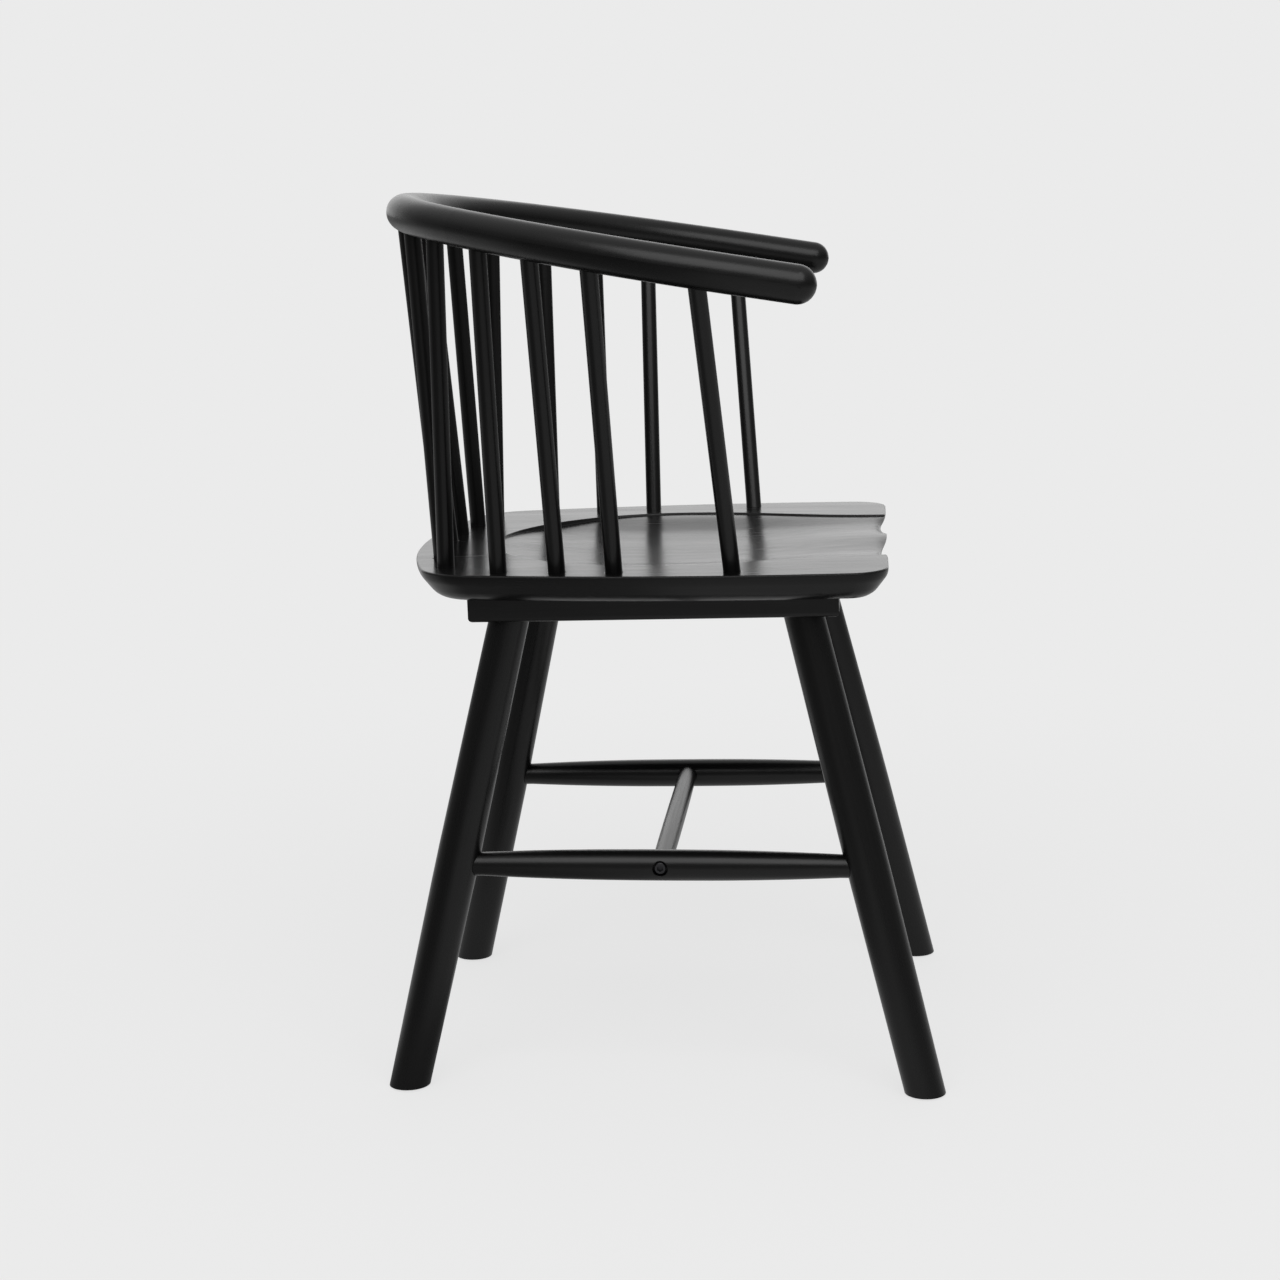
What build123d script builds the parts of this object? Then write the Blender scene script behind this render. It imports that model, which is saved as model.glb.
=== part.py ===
from build123d import *
import os
from math import cos, pi, radians, sin

# Low-backed wooden armchair: carved saddle seat, bent arm bow on round spindles,
# splayed turned legs with an H stretcher, bolted together from two side frames.
# Millimetres, +Z up, floor at Z = 0, the front of the chair faces -Y.

os.makedirs("parts", exist_ok=True)

# Fits
GLUE_GAP = 0.1               # radial room for glue round a dowel or tenon
END_GAP = 0.5                # room at the bottom of a blind socket
BOLT_GAP = 0.3               # radial room round a bolt shank in a plain hole
THREAD_GAP = 0.05            # radial room between a bolt and its insert

# Seat board, in its own frame: v runs back from the front edge, w up from the rim
SEAT_HEIGHT = 450.0          # top of the front rim above the floor
SEAT_FRONT = 191.0           # front edge, ahead of the origin
SEAT_TILT = 0.65             # degrees, the seat falls to the back
SEAT_DEPTH = 411.0
SEAT_HALF_WIDTH = 213.0      # at the widest place
SEAT_WIDEST = 119.0          # that place, back from the front edge
SEAT_FRONT_HALF = 209.0
SEAT_BACK_HALF = 184.0       # half width at the back corners, before rounding
SEAT_BACK_CROWN = 34.0       # how far the back edge bulges past its corners
SEAT_FRONT_CORNER = 32.0
SEAT_FRONT_WAVE = 4.0        # how far the front edge draws in at each thigh scoop
SEAT_WAVE_HALF = 140.0       # half width of the part that does
SEAT_BACK_CORNER = 52.0
SEAT_THICKNESS = 25.0
SEAT_RELIEF_DROP = 3.0       # shallow bevel of the underside, measured down the edge
SEAT_RELIEF_IN = 30.0        # shallow bevel, measured in along the underside
SEAT_BEVEL_DROP = 16.5       # steep bevel above it, measured down the edge
SEAT_BEVEL_IN = 14.0         # steep bevel, measured in along the shallow one
SEAT_BEVEL_ROUND = 12.0      # rounding of the steep bevel's upper crease
SEAT_UNDER_ROUND = 20.0      # and of its lower one
SEAT_RIM_CHAMFER = 0.8

# Saddle carved into the seat
DISH_HALF_WIDTH = 155.0
DISH_BACK = 346.0            # back of the dish, from the front edge
DISH_FRONT_HALF = 118.0
DISH_WALL = 1.5              # height of the crisp wall round the dish
DISH_WALL_SLOPE = 18.0       # degrees the wall leans from upright
DISH_POCKET = 20.0           # depth the dish is roughed to before its floor is shaped
DISH_DEPTH = 9.2             # at the bottom of the thigh scoops
DISH_RUNOUT = 150.0          # the floor rises over this length to the back wall
DISH_FRONT_DEPTH = 3.2       # of the scoops where they reach the front edge
DISH_FRONT_RUNOUT = 170.0    # the floor rises over this length to the front edge
THIGH_HALF_SPACING = 76.0
POMMEL_HEIGHT = 1.8          # ridge between the scoops, above their bottom
POMMEL_LENGTH = 170.0        # it fades out this far back from the front edge
FRONT_ROLL = 14.0            # the scoops roll over the front edge in this length
FRONT_ROLL_DROP = 9.0
FLOOR_ROWS = 49              # points that carry the floor's surface, front to back
FLOOR_COLUMNS = 41           # and across
FLOOR_MARGIN = 8.0           # how far the surface runs on outside the dish

# Spindles
SPINDLE_DIAMETER = 14.2
SPINDLE_INSET = 21.7         # spindle line in from the seat's edge
SEAT_STATIONS = (46.7, 97.3, 142.7, 206.8, 256.7, 304.4, 401.1)   # along that line, from its back
BOW_STATIONS = (45.0, 102.3, 160.7, 223.0, 279.8, 335.6, 423.4)   # along the bow, from its back
SPINDLE_SEAT_DEPTH = 15.0
SPINDLE_BOW_DEPTH = 6.0      # past the middle of the bow

# Arm bow, a flat U of round section that slopes down to the front
BOW_DIAMETER = 30.4
BOW_BACK_HEIGHT = 736.6      # middle of the rod at the back
BOW_BACK = 222.9             # middle of the rod at the back, behind the origin
BOW_SLOPE = 9.0              # degrees
BOW_HALF_WIDTH = 279.0       # middle of the rod at the arms
BOW_REACH = 310.0            # from the back to where the arms run straight
BOW_JOINT = 45.0             # degrees of the tighter arc, each side of the back
BOW_ARM = 39.0               # straight part of each arm

# Rails under the seat that carry the legs
RAIL_THICKNESS = 20.0
RAIL_WIDTH = 52.0
RAIL_LENGTH = 308.0
RAIL_HALF_SPACING = 134.4    # middle of each rail from the centre line
RAIL_START = 41.0            # back from the seat's front edge
RAIL_ROUND = 4.0

# Legs
LEG_FOOT_DIAMETER = 34.0
LEG_BELLY_DIAMETER = 36.2
LEG_TOP_DIAMETER = 33.6
LEG_TENON_DIAMETER = 24.0
LEG_BELT = 34.0              # even stretch of the leg round the stretcher's socket
TENON_SHY = 0.5              # tenon stops this far below the rail's top
FRONT_LEG_INSET = 30.3       # middle of the leg from the rail's front end
REAR_LEG_INSET = 30.8        # middle of the leg from the rail's back end
FRONT_SPLAY_OUT = 51.6       # from a leg's top to its foot
FRONT_SPLAY_AHEAD = 100.8
REAR_SPLAY_OUT = 37.6
REAR_SPLAY_BACK = 94.0

# Stretchers
STRETCHER_HEIGHT = 192.0
STRETCHER_DIAMETER = 26.4
STRETCHER_END_DIAMETER = 20.0
STRETCHER_TENON_SHY = 3.0    # tenon ends this far before the leg's middle
STRETCHER_BARE = 5.0         # even part that shows before the swell starts
STRETCHER_BELT = 30.0        # even stretch of a side stretcher round the cross stretcher's socket
CROSS_DIAMETER = 18.0
CROSS_END_DIAMETER = 17.0
CROSS_SOCKET = 4.0           # how deep the cross stretcher sits in the side ones

# Bolts and inserts
BOLT_DIAMETER = 6.0
BOLT_HEAD_DIAMETER = 10.0
BOLT_HEAD_HEIGHT = 6.0
BOLT_HEAD_CHAMFER = 0.6
HEX_ACROSS = 5.0
HEX_DEPTH = 3.0
COUNTERBORE_DIAMETER = 13.0
STRETCHER_HEAD_DEPTH = 2.0   # top of the bolt head below the stretcher's side
RAIL_HEAD_DEPTH = 1.0        # top of the bolt head inside the rail's underside
INSERT_DIAMETER = 10.0
INSERT_LENGTH = 13.0
BOLT_TIP = 2.0               # bolt runs on past its insert
SEAT_BOLT_SPACING = 85.0

# Glides nailed under the feet
GLIDE_DIAMETER = 20.0
GLIDE_HEIGHT = 1.6
GLIDE_CHAMFER = 0.6
GLIDE_PIN_DIAMETER = 4.0
GLIDE_PIN_LENGTH = 12.0

SPINDLE_RADIUS = SPINDLE_DIAMETER / 2
BOW_RADIUS = BOW_DIAMETER / 2
EDGE_FIND = 0.1              # how near a level an edge counts as lying on it
BEYOND = 60.0                # how far a cutting tool runs on past its work
SIDES = {"right": -1, "left": 1}
LEGS = {                     # place along the rail, splay outwards and back
    "front": (RAIL_START + FRONT_LEG_INSET, FRONT_SPLAY_OUT, -FRONT_SPLAY_AHEAD),
    "rear": (RAIL_START + RAIL_LENGTH - REAR_LEG_INSET, REAR_SPLAY_OUT, REAR_SPLAY_BACK),
}

seat_frame = Plane(
    origin=(0, -SEAT_FRONT, SEAT_HEIGHT),
    x_dir=(1, 0, 0),
    z_dir=(0, sin(radians(SEAT_TILT)), cos(radians(SEAT_TILT))),
)
bow_frame = Plane(
    origin=(0, BOW_BACK, BOW_BACK_HEIGHT),
    x_dir=(1, 0, 0),
    z_dir=(0, -sin(radians(BOW_SLOPE)), cos(radians(BOW_SLOPE))),
)


def on_seat(x, v, w):
    """A point given in the seat's frame."""
    return seat_frame.from_local_coords(Vector(x, v, w))


def rod(start, end, radius):
    """A plain round bar between two points."""
    run = Vector(*end) - Vector(*start)
    return Plane(origin=start, z_dir=run) * extrude(Circle(radius), run.length)


def turned(start, end, profile):
    """A turned piece: the profile's edges give radius and distance along the axis."""
    run = Vector(*end) - Vector(*start)
    outside = Wire(profile)
    first, last = outside @ 0, outside @ 1
    axis = Polyline(last, (0, last.Y), (0, first.Y), first)
    half = make_face([*profile, *axis.edges()])
    return Plane(origin=start, z_dir=run) * revolve(Plane.XZ * half, Axis.Z)


def along(start, end, height):
    """The point at a given height on the line between two points."""
    a, b = Vector(*start), Vector(*end)
    return a + (b - a) * ((height - a.Z) / (b.Z - a.Z))


def edges_at(shape, level):
    """The edges that lie on a level."""
    return shape.edges().filter_by_position(Axis.Z, level - EDGE_FIND, level + EDGE_FIND)


# Seat outline, with its front edge on v = 0
def seat_outline():
    corner = SEAT_DEPTH - SEAT_BACK_CROWN
    right = ThreePointArc((SEAT_FRONT_HALF, 0), (SEAT_HALF_WIDTH, SEAT_WIDEST), (SEAT_BACK_HALF, corner))
    back = ThreePointArc((SEAT_BACK_HALF, corner), (0, SEAT_DEPTH), (-SEAT_BACK_HALF, corner))
    left = mirror(right, Plane.YZ)
    plain = Line((SEAT_FRONT_HALF, 0), (SEAT_WAVE_HALF, 0))
    wave = Spline(
        (SEAT_WAVE_HALF, 0),
        (THIGH_HALF_SPACING, SEAT_FRONT_WAVE),
        (0, 0),
        (-THIGH_HALF_SPACING, SEAT_FRONT_WAVE),
        (-SEAT_WAVE_HALF, 0),
        tangents=((-1, 0), (-1, 0)),
    )
    face = make_face([right, back, left, mirror(plain, Plane.YZ), wave, plain])
    front = face.vertices().filter_by_position(Axis.Y, -EDGE_FIND, EDGE_FIND).sort_by(Axis.X)
    face = fillet([front[0], front[-1]], SEAT_FRONT_CORNER)
    return fillet(face.vertices().sort_by(Axis.Y)[-2:], SEAT_BACK_CORNER)


# Board with an undercut edge: a shallow bevel, then a steep one whose two creases are rounded
def seat_board():
    board = extrude(outline, -SEAT_THICKNESS)
    board = chamfer(board.faces().sort_by(Axis.Z)[0].edges(), SEAT_RELIEF_DROP, SEAT_RELIEF_IN)
    crease = SEAT_RELIEF_DROP - SEAT_THICKNESS
    board = chamfer(edges_at(board, crease), SEAT_BEVEL_DROP, SEAT_BEVEL_IN)
    low = crease - SEAT_BEVEL_IN * SEAT_RELIEF_DROP / SEAT_RELIEF_IN
    board = fillet(edges_at(board, crease + SEAT_BEVEL_DROP), SEAT_BEVEL_ROUND)
    board = fillet(edges_at(board, low), SEAT_UNDER_ROUND)
    return chamfer(board.faces().sort_by(Axis.Z)[-1].edges(), SEAT_RIM_CHAMFER)


def dish_half(v):
    """Half width of the dish ahead of its round back."""
    share = min(max(v / (DISH_BACK - DISH_HALF_WIDTH), 0), 1)
    return DISH_FRONT_HALF + (DISH_HALF_WIDTH - DISH_FRONT_HALF) * share**2 * (3 - 2 * share)


def ease(share):
    """A smooth step down from one to nothing, level at both ends."""
    return (1 + cos(pi * min(max(share, 0), 1))) / 2


def scoop(x, v):
    """One along the bottom of each thigh scoop, nothing on the pommel and at the wall."""
    if abs(x) < THIGH_HALF_SPACING:
        return 1 - ease(abs(x) / THIGH_HALF_SPACING)
    return ease((abs(x) - THIGH_HALF_SPACING) / (dish_half(v) - THIGH_HALF_SPACING))


def floor_depth(x, v):
    """Depth of the saddle's floor: two thigh scoops that roll over the front, a pommel between them."""
    rise = min(max((DISH_BACK - v) / DISH_RUNOUT, -1), 1)
    deep = DISH_DEPTH - (DISH_DEPTH - DISH_FRONT_DEPTH) * ease(v / DISH_FRONT_RUNOUT)
    deep = DISH_WALL + (deep - DISH_WALL) * sin(pi / 2 * rise)
    roll = FRONT_ROLL_DROP * (max(FRONT_ROLL - v, 0) / FRONT_ROLL) ** 2
    crest = deep - POMMEL_HEIGHT * ease(v / POMMEL_LENGTH) if abs(x) < THIGH_HALF_SPACING else DISH_WALL
    return crest + (deep + roll - crest) * scoop(x, v)


# Everything above the saddle's floor, which is one smooth surface
def above_floor():
    reach, width = DISH_BACK + 2 * FLOOR_MARGIN, DISH_HALF_WIDTH + FLOOR_MARGIN
    points = []
    for row in range(FLOOR_ROWS):
        v = reach * (row / (FLOOR_ROWS - 1)) ** 2 - FLOOR_MARGIN
        across = [width * (2 * column / (FLOOR_COLUMNS - 1) - 1) for column in range(FLOOR_COLUMNS)]
        points.append([Vector(x, v, -floor_depth(x, v)) for x in across])
    return extrude(Face.make_surface_from_array_of_points(points), BEYOND, dir=(0, 0, 1))


# Dish with a crisp wall: round at the back, drawn in to the front, open through the front edge
def dish():
    middle = DISH_BACK - DISH_HALF_WIDTH
    back = ThreePointArc((DISH_HALF_WIDTH, middle), (0, DISH_BACK), (-DISH_HALF_WIDTH, middle))
    lead = Line((DISH_FRONT_HALF, -BEYOND), (DISH_FRONT_HALF, 0))
    side = Spline((DISH_FRONT_HALF, 0), (DISH_HALF_WIDTH, middle), tangents=((0, 1), (0, 1)))
    front = Line((-DISH_FRONT_HALF, -BEYOND), (DISH_FRONT_HALF, -BEYOND))
    face = make_face([lead, side, back, mirror(side, Plane.YZ), mirror(lead, Plane.YZ), front])
    return extrude(face, -DISH_POCKET, taper=DISH_WALL_SLOPE) & above_floor()


# The bow's middle line, from the back to the tip of the left arm: two arcs and a straight
def bow_half_line():
    rise, fall = cos(radians(BOW_JOINT)), sin(radians(BOW_JOINT))
    back = (BOW_HALF_WIDTH * rise - BOW_REACH * (1 - fall)) / (rise + fall - 1)
    side = (BOW_REACH * fall - BOW_HALF_WIDTH * (1 - rise)) / (rise + fall - 1)
    first = CenterArc((0, -back), back, 90, -BOW_JOINT)
    second = CenterArc((BOW_HALF_WIDTH - side, -BOW_REACH), side, 90 - BOW_JOINT, BOW_JOINT - 90)
    arm = Line((BOW_HALF_WIDTH, -BOW_REACH), (BOW_HALF_WIDTH, -BOW_REACH - BOW_ARM))
    return Wire([first.edge(), second.edge(), arm.edge()])


def bow_rod():
    half = bow_half_line()
    tip = half @ 1
    one = sweep(Plane(origin=half @ 0, z_dir=half % 0) * Circle(BOW_RADIUS), path=half)
    one += Pos(tip) * Sphere(BOW_RADIUS)
    return one + mirror(one, Plane.YZ)


# Spindle lines: where each meets the seat and the bow, on one side
def spindle_ends():
    ring = offset(outline, -SPINDLE_INSET).face().outer_wire()
    start = ring.param_at_point((0, SEAT_DEPTH - SPINDLE_INSET, 0))
    turn = 1 if (ring % start).X > 0 else -1
    half = bow_half_line()
    ends = [(on_seat(0, SEAT_DEPTH - SPINDLE_INSET, 0), bow_frame.from_local_coords(half @ 0))]
    for low, high in zip(SEAT_STATIONS, BOW_STATIONS):
        foot = ring @ ((start + turn * low / ring.length) % 1)
        head = half.position_at(high, position_mode=PositionMode.LENGTH)
        ends.append((on_seat(foot.X, foot.Y, 0), bow_frame.from_local_coords(head)))
    return ends


def flip(point, side):
    return Vector(side * point.X, point.Y, point.Z)


def spindle(foot, head, room=0.0):
    """One spindle, or with room the hole it goes into."""
    lean = (head - foot).normalized()
    low = foot - lean * (SPINDLE_SEAT_DEPTH + room * END_GAP)
    high = head + lean * (SPINDLE_BOW_DEPTH + room * END_GAP)
    return rod(low, high, SPINDLE_RADIUS + room * GLUE_GAP)


# Legs: a turned barrel cut square to the floor and to the rail, with a tenon through the rail
def leg_line(end, side):
    """A leg's middle line, from the floor to the rail's underside."""
    place, out, back = LEGS[end]
    high = on_seat(side * RAIL_HALF_SPACING, place, -SEAT_THICKNESS - RAIL_THICKNESS)
    return Vector(high.X + side * out, high.Y + back, 0), high


def leg(end, side):
    low, high = leg_line(end, side)
    run = (high - low).length
    foot, belly, top = LEG_FOOT_DIAMETER / 2, LEG_BELLY_DIAMETER / 2, LEG_TOP_DIAMETER / 2
    socket = (along(low, high, STRETCHER_HEIGHT) - low).length
    start, stop = socket - LEG_BELT / 2, socket + LEG_BELT / 2
    below = (foot - (belly - foot) * BEYOND / start, -BEYOND)
    above = (top - (belly - top) * BEYOND / (run - stop), run + BEYOND)
    body = turned(low, high, Polyline(below, (belly, start), (belly, stop), above).edges())
    body = split(body, Plane.XY.offset(GLIDE_HEIGHT), keep=Keep.TOP)
    body = split(body, seat_frame.offset(-SEAT_THICKNESS - RAIL_THICKNESS), keep=Keep.BOTTOM)
    body += split(leg_tenon(low, high), seat_frame.offset(-SEAT_THICKNESS - TENON_SHY), keep=Keep.BOTTOM)
    pin = along(low, high, GLIDE_HEIGHT)
    return body - glide_pin(pin, GLUE_GAP, END_GAP)


def leg_tenon(low, high, room=0.0):
    lean = (high - low).normalized()
    return rod(high - lean * BEYOND, high + lean * BEYOND, LEG_TENON_DIAMETER / 2 + room)


def glide_pin(foot, room=0.0, end=0.0):
    return rod(foot, foot + Vector(0, 0, GLIDE_PIN_LENGTH + end), GLIDE_PIN_DIAMETER / 2 + room)


def glide(foot):
    disc = rod(Vector(foot.X, foot.Y, 0), foot, GLIDE_DIAMETER / 2)
    disc = chamfer(disc.edges().sort_by(Axis.Z)[0], GLIDE_CHAMFER)
    return disc + glide_pin(foot)


# Side stretchers: cigar shaped, their round ends let into the legs
def side_stretcher_line(side):
    return [along(*leg_line(end, side), STRETCHER_HEIGHT) for end in ("rear", "front")]


def side_stretcher(side):
    rear, front = side_stretcher_line(side)
    run = (front - rear).length
    bare = LEG_BELLY_DIAMETER / 2 + STRETCHER_BARE
    end, middle = STRETCHER_END_DIAMETER / 2, STRETCHER_DIAMETER / 2
    start, stop = (run - STRETCHER_BELT) / 2, (run + STRETCHER_BELT) / 2
    cigar = [
        Line((end, STRETCHER_TENON_SHY), (end, bare)),
        TangentArc((middle, start), (end, bare), tangent=(0, -1)),
        Line((middle, start), (middle, stop)),
        TangentArc((middle, stop), (end, run - bare), tangent=(0, 1)),
        Line((end, run - bare), (end, run - STRETCHER_TENON_SHY)),
    ]
    return turned(rear, front, cigar)


def stretcher_sockets(side):
    rear, front = side_stretcher_line(side)
    lean = (front - rear).normalized()
    radius = STRETCHER_END_DIAMETER / 2 + GLUE_GAP
    reach = LEG_BELLY_DIAMETER
    short = STRETCHER_TENON_SHY - END_GAP
    return {
        "rear": rod(rear + lean * short, rear + lean * reach, radius),
        "front": rod(front - lean * short, front - lean * reach, radius),
    }


# Bolts: a socket-head screw pointing along a direction, its seat and its threaded insert
def bolt(seat_point, direction, length):
    axis = Vector(*direction).normalized()
    head = rod(seat_point - axis * BOLT_HEAD_HEIGHT, seat_point, BOLT_HEAD_DIAMETER / 2)
    outer = head.edges().filter_by(GeomType.CIRCLE).sort_by_distance(seat_point)[-1]
    head = chamfer(outer, BOLT_HEAD_CHAMFER)
    hexagon = RegularPolygon(HEX_ACROSS / 2, 6, major_radius=False)
    head -= Plane(origin=seat_point - axis * BOLT_HEAD_HEIGHT, z_dir=axis) * extrude(hexagon, HEX_DEPTH)
    return head + rod(seat_point, seat_point + axis * length, BOLT_DIAMETER / 2)


def insert(mouth, direction):
    axis = Vector(*direction).normalized()
    sleeve = rod(mouth, mouth + axis * INSERT_LENGTH, INSERT_DIAMETER / 2)
    return sleeve - rod(mouth, mouth + axis * INSERT_LENGTH, BOLT_DIAMETER / 2 + THREAD_GAP)


def insert_hole(mouth, direction):
    axis = Vector(*direction).normalized()
    hole = rod(mouth, mouth + axis * INSERT_LENGTH, INSERT_DIAMETER / 2)
    deep = mouth + axis * (INSERT_LENGTH + BOLT_TIP + END_GAP)
    return hole + rod(mouth, deep, BOLT_DIAMETER / 2 + BOLT_GAP)


def bolt_hole(seat_point, direction):
    axis = Vector(*direction).normalized()
    bore = rod(seat_point - axis * BEYOND, seat_point, COUNTERBORE_DIAMETER / 2)
    return bore + rod(seat_point, seat_point + axis * BEYOND, BOLT_DIAMETER / 2 + BOLT_GAP)


# Cross stretcher between the two side stretchers, with a bolt through each
def cross_middle(side):
    rear, front = side_stretcher_line(side)
    return (rear + front) * 0.5


def cross_end(side):
    return cross_middle(side) - Vector(side * (STRETCHER_DIAMETER / 2 - CROSS_SOCKET), 0, 0)


def cross_bolt_seat(side):
    outer = STRETCHER_DIAMETER / 2 - STRETCHER_HEAD_DEPTH - BOLT_HEAD_HEIGHT
    return cross_middle(side) + Vector(side * outer, 0, 0)


def cross_stretcher():
    left, right = cross_end(1), cross_end(-1)
    run = (left - right).length
    end = CROSS_END_DIAMETER / 2
    swell = [
        Line((end, 0), (end, CROSS_SOCKET)),
        ThreePointArc((end, CROSS_SOCKET), (CROSS_DIAMETER / 2, run / 2), (end, run - CROSS_SOCKET)),
        Line((end, run - CROSS_SOCKET), (end, run)),
    ]
    bar = turned(right, left, swell)
    for side in SIDES.values():
        bar -= insert_hole(cross_end(side), (-side, 0, 0))
    return bar


def cross_socket(side):
    end = cross_end(side)
    return rod(end, end - Vector(side * BEYOND, 0, 0), CROSS_END_DIAMETER / 2 + GLUE_GAP)


# Rails: flat bars under the seat, bored for two legs and three bolts
def seat_bolt_places(side):
    middle = RAIL_START + RAIL_LENGTH / 2
    return [(side * RAIL_HALF_SPACING, middle + step * SEAT_BOLT_SPACING) for step in (-1, 0, 1)]


def seat_bolt_seat(place):
    return on_seat(*place, -SEAT_THICKNESS - RAIL_THICKNESS + RAIL_HEAD_DEPTH + BOLT_HEAD_HEIGHT)


def rail(side):
    bar = extrude(Rectangle(RAIL_WIDTH, RAIL_LENGTH), -RAIL_THICKNESS)
    bar = fillet(bar.faces().sort_by(Axis.Z)[0].edges(), RAIL_ROUND)
    middle = Location((side * RAIL_HALF_SPACING, RAIL_START + RAIL_LENGTH / 2, -SEAT_THICKNESS))
    bar = seat_frame.location * middle * bar
    for end in LEGS:
        bar -= leg_tenon(*leg_line(end, side), GLUE_GAP)
    for place in seat_bolt_places(side):
        bar -= bolt_hole(seat_bolt_seat(place), seat_frame.z_dir)
    return bar


outline = seat_outline()
parts = {}

# Seat, bow and spindles
seat = seat_frame.location * (seat_board() - dish())
bow = bow_frame.location * bow_rod()
for number, (foot, head) in enumerate(spindle_ends()):
    sides = SIDES if number else {"centre": 1}
    for name, side in sides.items():
        ends = flip(foot, side), flip(head, side)
        label = f"spindle_{name}_{number}" if number else "spindle_back_centre"
        parts[label] = spindle(*ends)
        hole = spindle(*ends, room=1.0)
        seat -= hole
        bow -= hole
parts["arm_bow"] = bow

# Side frames: rail, two legs and a side stretcher, glued
seat_bolts = []
seat_inserts = []
glides = []
for name, side in SIDES.items():
    sockets = stretcher_sockets(side)
    for end in LEGS:
        parts[f"{end}_leg_{name}"] = leg(end, side) - sockets[end]
        glides.append(glide(along(*leg_line(end, side), GLIDE_HEIGHT)))
    parts[f"seat_rail_{name}"] = rail(side)
    bar = side_stretcher(side) - cross_socket(side)
    parts[f"side_stretcher_{name}"] = bar - bolt_hole(cross_bolt_seat(side), (-side, 0, 0))
    for place in seat_bolt_places(side):
        mouth = on_seat(*place, -SEAT_THICKNESS)
        reach = (mouth - seat_bolt_seat(place)).length + INSERT_LENGTH + BOLT_TIP
        seat_bolts.append(bolt(seat_bolt_seat(place), seat_frame.z_dir, reach))
        seat_inserts.append(insert(mouth, seat_frame.z_dir))
        seat -= insert_hole(mouth, seat_frame.z_dir)
parts["seat"] = seat
parts["seat_bolts"] = Compound(children=seat_bolts)
parts["seat_inserts"] = Compound(children=seat_inserts)
parts["floor_glides"] = Compound(children=glides)

# Cross stretcher and its two bolts
parts["cross_stretcher"] = cross_stretcher()
cross_bolts = []
cross_inserts = []
for side in SIDES.values():
    reach = (cross_end(side) - cross_bolt_seat(side)).length + INSERT_LENGTH + BOLT_TIP
    cross_bolts.append(bolt(cross_bolt_seat(side), (-side, 0, 0), reach))
    cross_inserts.append(insert(cross_end(side), (-side, 0, 0)))
parts["stretcher_bolts"] = Compound(children=cross_bolts)
parts["stretcher_inserts"] = Compound(children=cross_inserts)

for name, shape in parts.items():
    export_step(shape, f"parts/{name}.step")

whole = Compound(children=[*parts.values()]).bounding_box()
print("overall size", [round(extent, 2) for extent in whole.size])
print("lowest corner", [round(extent, 2) for extent in whole.min])
print("highest corner", [round(extent, 2) for extent in whole.max])
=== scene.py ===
from math import cos, radians, sin

import bpy
import numpy as np
from mathutils import Matrix, Vector


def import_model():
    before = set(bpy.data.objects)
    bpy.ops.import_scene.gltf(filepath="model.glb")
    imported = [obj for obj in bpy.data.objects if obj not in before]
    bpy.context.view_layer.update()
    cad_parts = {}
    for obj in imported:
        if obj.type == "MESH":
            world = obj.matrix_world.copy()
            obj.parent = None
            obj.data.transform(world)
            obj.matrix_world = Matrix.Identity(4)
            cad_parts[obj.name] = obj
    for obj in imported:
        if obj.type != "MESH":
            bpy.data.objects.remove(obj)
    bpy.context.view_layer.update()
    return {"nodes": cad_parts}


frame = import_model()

# Satin black armchair in a pale studio. Metres, the CAD part's frame: +Z up, the chair faces -Y.

# Camera, on the chair's right-hand side
CAMERA_PLACE = (-2.0981, -0.1750, 0.7662)
CAMERA_YAW = 2.906           # degrees from +X towards +Y
CAMERA_PITCH = 11.091        # degrees down
CAMERA_ROLL = 0.803          # degrees
IMAGE_SIDE = 1280.0          # pixels
FOCAL_PIXELS = 2391.73
MIDDLE_PIXEL = 750.0         # column of the optical axis
SENSOR = 36.0                # millimetres

# Studio
PALE = 0.8308                # grey of the floor and of the background
ROOM_DIM = 0.12              # light of the room on the camera's side
ROOM_BRIGHT = 1.38           # light of the wall behind the chair
ROOM_FADE = (0.55, 1.05)     # from dim to bright, by the X part of the direction
CEILING = 0.66               # light of the room straight overhead
CEILING_FADE = (0.0, 1.0)    # from dim to that, by the Z part of the direction
FLOOR_SIDE = 80.0
FLOOR_ALBEDO = 0.95
SHADOW_SHARE = 0.16          # how much of the floor's own shading shows near the chair
SHADOW_REACH = (0.35, 1.5)   # the shading fades out between these distances
POOL_REACH = (2.0, 6.0)      # in reflections the floor dims between these distances
POOL_SHARES = (0.68, 0.28)   # from and to these shares of its light
UNLIT_SIDE = (-0.7, 0.7, 0)  # and it lies dim on this side of the chair
UNLIT_SPAN = (0.72, 0.97)    # within these cosines of that direction
UNLIT_SHARE = 0.3            # with this share of its light
SOFTBOX_SIZE = (3.4, 1.9)    # along the chair and up its own slope
SOFTBOX_PLACE = (-1.9, -0.2, 2.45)
SOFTBOX_AIM = (0.0, 0.0, 0.5)
SOFTBOX_POWER = 46.0         # watts

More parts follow.
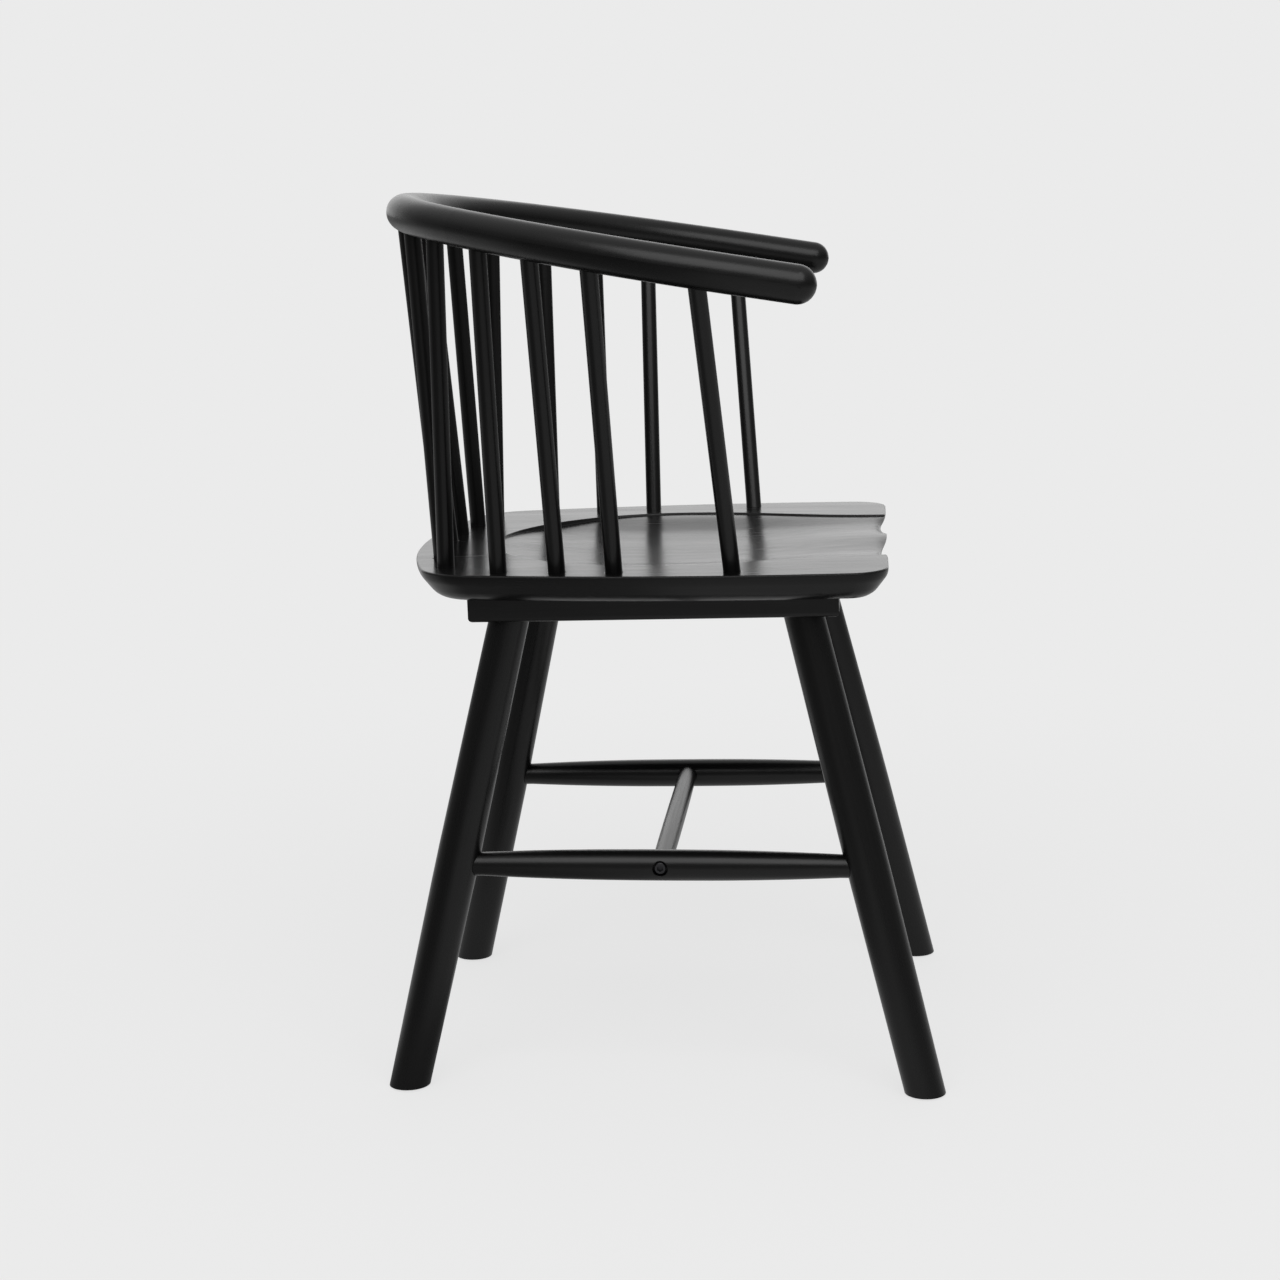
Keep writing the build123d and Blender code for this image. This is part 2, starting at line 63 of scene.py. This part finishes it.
# Lacquered wood
BLACK = (0.0022, 0.0022, 0.0023)
BLACK_WORN = (0.0048, 0.0047, 0.0046)
GLOSS = 0.32                 # specular level of the satin coat
ROUGH_RANGE = (0.25, 0.33)
SEAT_GLOSS = 0.27            # the seat's coat is smoother and a little less glossy
SEAT_ROUGH_RANGE = (0.20, 0.28)
EDGE_SOFTNESS = 0.0009       # radius that the finish gives to crisp edges
SEAT_SOFTNESS = 0.0020       # and to the sanded edges of the seat
SOFTNESS_SAMPLES = 6
BACKWARD = (0, 1, 0)         # grain of the seat and the bow
FIGURE_SCALE = (55.0, 3.0)   # broad figure of the wood, per metre across and along the grain
FIGURE_DETAIL = 3.0
PORE_SCALE = (600.0, 10.0)   # fine pores
PORE_DETAIL = 2.0
PEEL_SCALE = (260.0, 260.0)  # waviness of the sprayed coat
PEEL_DETAIL = 1.0
FIGURE_WEIGHT = 0.6          # of the figure in the roughness, where the pores have 1
ROUGH_SPAN = (0.5, 1.1)      # sums of the two between which the roughness changes
PEEL_STRENGTH = 0.03
PORE_STRENGTH = 0.1
BUMP_DEPTH = 0.0001
COLOUR_A, COLOUR_B, COLOUR_OUT = 6, 7, 2   # sockets of a Mix node that carry colours

# Fittings
STEEL = (0.32, 0.32, 0.33)
STEEL_ROUGHNESS = 0.35
DARK_STEEL = (0.06, 0.06, 0.063)
DARK_STEEL_ROUGHNESS = 0.45
BRASS = (0.7, 0.5, 0.22)
BRASS_ROUGHNESS = 0.35
METAL_SPREAD = 0.1           # how far the roughness of a metal strays each way
METAL_GRAIN = 900.0          # per metre
GLIDE_BLACK = (0.008, 0.008, 0.008)
GLIDE_ROUGHNESS = 0.55
GLIDE_GRAIN = 1200.0         # per metre
GLIDE_STRENGTH = 0.2
FITTING_DETAIL = 2.0


def link(tree, source, target):
    tree.links.new(source, target)


def new_node(tree, kind, **values):
    node = tree.nodes.new(kind)
    for name, value in values.items():
        setattr(node, name, value)
    return node


def new_material(name):
    """A material with its node tree and its shader."""
    material = bpy.data.materials.new(name)
    material.use_nodes = True
    tree = material.node_tree
    return material, tree, tree.nodes["Principled BSDF"]


def new_object(name, data):
    thing = bpy.data.objects.new(name, data)
    bpy.context.scene.collection.objects.link(thing)
    return thing


def grey(level):
    return (level, level, level, 1)


def fade(tree, value, span, ends, shape="SMOOTHSTEP"):
    """Change from the first end to the second while the value crosses the span."""
    node = new_node(tree, "ShaderNodeMapRange", interpolation_type=shape)
    node.inputs["From Min"].default_value, node.inputs["From Max"].default_value = span
    node.inputs["To Min"].default_value, node.inputs["To Max"].default_value = ends
    link(tree, value, node.inputs["Value"])
    return node.outputs[0]


def combine(tree, operation, first, second):
    node = new_node(tree, "ShaderNodeMath", operation=operation)
    link(tree, first, node.inputs[0])
    link(tree, second, node.inputs[1])
    return node.outputs[0]


def mix_shaders(tree, share, first, second):
    """The first shader where the share is nothing, the second where it is one."""
    node = new_node(tree, "ShaderNodeMixShader")
    link(tree, share, node.inputs[0])
    link(tree, first.outputs[0], node.inputs[1])
    link(tree, second.outputs[0], node.inputs[2])
    return node.outputs[0]


def noise(tree, vector, scale, detail):
    node = new_node(tree, "ShaderNodeTexNoise")
    node.inputs["Scale"].default_value = scale
    node.inputs["Detail"].default_value = detail
    link(tree, vector, node.inputs["Vector"])
    return node.outputs["Fac"]


def bump(tree, height, strength, normal=None):
    node = new_node(tree, "ShaderNodeBump")
    node.inputs["Strength"].default_value = strength
    node.inputs["Distance"].default_value = BUMP_DEPTH
    link(tree, height, node.inputs["Height"])
    if normal is not None:
        link(tree, normal, node.inputs["Normal"])
    return node.outputs[0]


def camera():
    yaw, pitch, roll = (radians(angle) for angle in (CAMERA_YAW, CAMERA_PITCH, CAMERA_ROLL))
    ahead = Vector((cos(yaw) * cos(pitch), sin(yaw) * cos(pitch), -sin(pitch)))
    level = ahead.cross(Vector((0, 0, 1))).normalized()
    down = ahead.cross(level)
    right = level * cos(roll) + down * sin(roll)
    up = level * sin(roll) - down * cos(roll)
    data = bpy.data.cameras.new("camera")
    data.sensor_width = SENSOR
    data.lens = SENSOR * FOCAL_PIXELS / IMAGE_SIDE
    data.shift_x = (IMAGE_SIDE / 2 - MIDDLE_PIXEL) / IMAGE_SIDE
    eye = new_object("camera", data)
    turn = Matrix((right, up, -ahead)).transposed().to_4x4()
    eye.matrix_world = Matrix.Translation(CAMERA_PLACE) @ turn
    bpy.context.scene.camera = eye


# World: bright behind the chair, soft overhead, dim on the camera's side, even pale grey to the camera
def world():
    studio = bpy.data.worlds.new("studio")
    bpy.context.scene.world = studio
    studio.use_nodes = True
    tree = studio.node_tree
    tree.nodes.clear()
    out = new_node(tree, "ShaderNodeOutputWorld")
    room = new_node(tree, "ShaderNodeBackground")
    seen = new_node(tree, "ShaderNodeBackground")
    seen.inputs["Color"].default_value = grey(PALE)
    rays = new_node(tree, "ShaderNodeLightPath")
    place = new_node(tree, "ShaderNodeTexCoord")
    axes = new_node(tree, "ShaderNodeSeparateXYZ")
    link(tree, place.outputs["Generated"], axes.inputs[0])
    wall = fade(tree, axes.outputs["X"], ROOM_FADE, (ROOM_DIM, ROOM_BRIGHT))
    ceiling = fade(tree, axes.outputs["Z"], CEILING_FADE, (ROOM_DIM, CEILING))
    link(tree, combine(tree, "MAXIMUM", wall, ceiling), room.inputs["Color"])
    link(tree, mix_shaders(tree, rays.outputs["Is Camera Ray"], room, seen), out.inputs["Surface"])


# Floor: pale like the background to the camera and in reflections, with the chair's shadow near it
def floor():
    half = FLOOR_SIDE / 2
    mesh = bpy.data.meshes.new("floor")
    corners = [(-half, -half, 0), (half, -half, 0), (half, half, 0), (-half, half, 0)]
    mesh.from_pydata(corners, [], [(0, 1, 2, 3)])
    mesh.materials.append(floor_finish())
    new_object("floor", mesh)


def floor_finish():
    material = bpy.data.materials.new("floor")
    material.use_nodes = True
    tree = material.node_tree
    tree.nodes.clear()
    out = new_node(tree, "ShaderNodeOutputMaterial")
    matt = new_node(tree, "ShaderNodeBsdfDiffuse")
    matt.inputs["Color"].default_value = grey(FLOOR_ALBEDO)
    pale = new_node(tree, "ShaderNodeEmission")
    pale.inputs["Color"].default_value = grey(PALE)
    rays = new_node(tree, "ShaderNodeLightPath")
    place = new_node(tree, "ShaderNodeTexCoord")
    distance = new_node(tree, "ShaderNodeVectorMath", operation="LENGTH")
    direction = new_node(tree, "ShaderNodeVectorMath", operation="NORMALIZE")
    side = new_node(tree, "ShaderNodeVectorMath", operation="DOT_PRODUCT")
    side.inputs[1].default_value = UNLIT_SIDE
    link(tree, place.outputs["Object"], distance.inputs[0])
    link(tree, place.outputs["Object"], direction.inputs[0])
    link(tree, direction.outputs["Vector"], side.inputs[0])
    away = distance.outputs["Value"]
    pool = fade(tree, away, POOL_REACH, POOL_SHARES)
    unlit = fade(tree, side.outputs["Value"], UNLIT_SPAN, (1, UNLIT_SHARE))
    mirrored = combine(tree, "MAXIMUM", rays.outputs["Is Glossy Ray"], rays.outputs["Is Transmission Ray"])
    seen = combine(tree, "MAXIMUM", rays.outputs["Is Camera Ray"], mirrored)
    light = combine(tree, "MAXIMUM", rays.outputs["Is Camera Ray"], combine(tree, "MULTIPLY", pool, unlit))
    shown = combine(tree, "MULTIPLY", seen, fade(tree, away, SHADOW_REACH, (1 - SHADOW_SHARE, 1)))
    link(tree, light, pale.inputs["Strength"])
    link(tree, mix_shaders(tree, shown, matt, pale), out.inputs["Surface"])
    return material


def softbox():
    data = bpy.data.lights.new("softbox", "AREA")
    data.shape = "RECTANGLE"
    data.size, data.size_y = SOFTBOX_SIZE
    data.energy = SOFTBOX_POWER
    lamp = new_object("softbox", data)
    lamp.location = SOFTBOX_PLACE
    beam = Vector(SOFTBOX_AIM) - Vector(SOFTBOX_PLACE)
    lamp.rotation_euler = beam.to_track_quat("-Z", "Y").to_euler()


# Wood under satin lacquer, its grain along one direction of the piece
def lacquer(name, grain, softness=EDGE_SOFTNESS, gloss=GLOSS, roughness=ROUGH_RANGE):
    material, tree, shader = new_material(name)
    shader.inputs["Specular IOR Level"].default_value = gloss
    place = new_node(tree, "ShaderNodeTexCoord")
    turn = new_node(tree, "ShaderNodeMapping")
    turn.inputs["Rotation"].default_value = Vector(grain).rotation_difference((0, 0, 1)).to_euler()
    link(tree, place.outputs["Object"], turn.inputs["Vector"])

    def grain_noise(scale, detail):
        across, lengthwise = scale
        stretch = new_node(tree, "ShaderNodeMapping")
        stretch.inputs["Scale"].default_value = (across, across, lengthwise)
        link(tree, turn.outputs[0], stretch.inputs["Vector"])
        return noise(tree, stretch.outputs[0], 1, detail)

    figure = grain_noise(FIGURE_SCALE, FIGURE_DETAIL)
    pores = grain_noise(PORE_SCALE, PORE_DETAIL)
    peel = grain_noise(PEEL_SCALE, PEEL_DETAIL)

    colour = new_node(tree, "ShaderNodeMix", data_type="RGBA")
    colour.inputs[COLOUR_A].default_value = (*BLACK, 1)
    colour.inputs[COLOUR_B].default_value = (*BLACK_WORN, 1)
    link(tree, figure, colour.inputs[0])
    link(tree, colour.outputs[COLOUR_OUT], shader.inputs["Base Color"])

    blend = new_node(tree, "ShaderNodeMath", operation="MULTIPLY_ADD")
    blend.inputs[1].default_value = FIGURE_WEIGHT
    link(tree, figure, blend.inputs[0])
    link(tree, pores, blend.inputs[2])
    rough = fade(tree, blend.outputs[0], ROUGH_SPAN, roughness, "LINEAR")
    link(tree, rough, shader.inputs["Roughness"])

    soft = new_node(tree, "ShaderNodeBevel", samples=SOFTNESS_SAMPLES)
    soft.inputs["Radius"].default_value = softness
    wavy = bump(tree, peel, PEEL_STRENGTH, soft.outputs[0])
    link(tree, bump(tree, pores, PORE_STRENGTH, wavy), shader.inputs["Normal"])
    return material


def metal(name, colour, roughness):
    material, tree, shader = new_material(name)
    shader.inputs["Base Color"].default_value = (*colour, 1)
    shader.inputs["Metallic"].default_value = 1
    place = new_node(tree, "ShaderNodeTexCoord")
    grain = noise(tree, place.outputs["Object"], METAL_GRAIN, FITTING_DETAIL)
    ends = (roughness - METAL_SPREAD, roughness + METAL_SPREAD)
    link(tree, fade(tree, grain, (0, 1), ends, "LINEAR"), shader.inputs["Roughness"])
    return material


def plastic(name):
    material, tree, shader = new_material(name)
    shader.inputs["Base Color"].default_value = (*GLIDE_BLACK, 1)
    shader.inputs["Roughness"].default_value = GLIDE_ROUGHNESS
    shader.inputs["Specular IOR Level"].default_value = GLOSS
    place = new_node(tree, "ShaderNodeTexCoord")
    grain = noise(tree, place.outputs["Object"], GLIDE_GRAIN, FITTING_DETAIL)
    link(tree, bump(tree, grain, GLIDE_STRENGTH), shader.inputs["Normal"])
    return material


def long_axis(node):
    """Direction in which a slim node is longest."""
    points = np.array([vertex.co for vertex in node.data.vertices])
    spread = points - points.mean(0)
    return Vector(np.linalg.svd(spread, full_matrices=False)[2][0])


# A finish for every node: fittings, seat and bow by name, the slim pieces along their length
def dress():
    brass = metal("insert_brass", BRASS, BRASS_ROUGHNESS)
    finishes = {
        "seat": lacquer("lacquer_seat", BACKWARD, SEAT_SOFTNESS, SEAT_GLOSS, SEAT_ROUGH_RANGE),
        "arm_bow": lacquer("lacquer_arm_bow", BACKWARD),
        "seat_bolts": metal("bolt_steel", STEEL, STEEL_ROUGHNESS),
        "stretcher_bolts": metal("bolt_steel_dark", DARK_STEEL, DARK_STEEL_ROUGHNESS),
        "seat_inserts": brass,
        "stretcher_inserts": brass,
        "floor_glides": plastic("glide_plastic"),
    }
    for name, node in frame["nodes"].items():
        if name not in finishes:
            finishes[name] = lacquer(f"lacquer_{name}", long_axis(node))
        node.data.materials.clear()
        node.data.materials.append(finishes[name])


camera()
world()
floor()
softbox()
dress()

bpy.context.scene.view_settings.view_transform = "Standard"
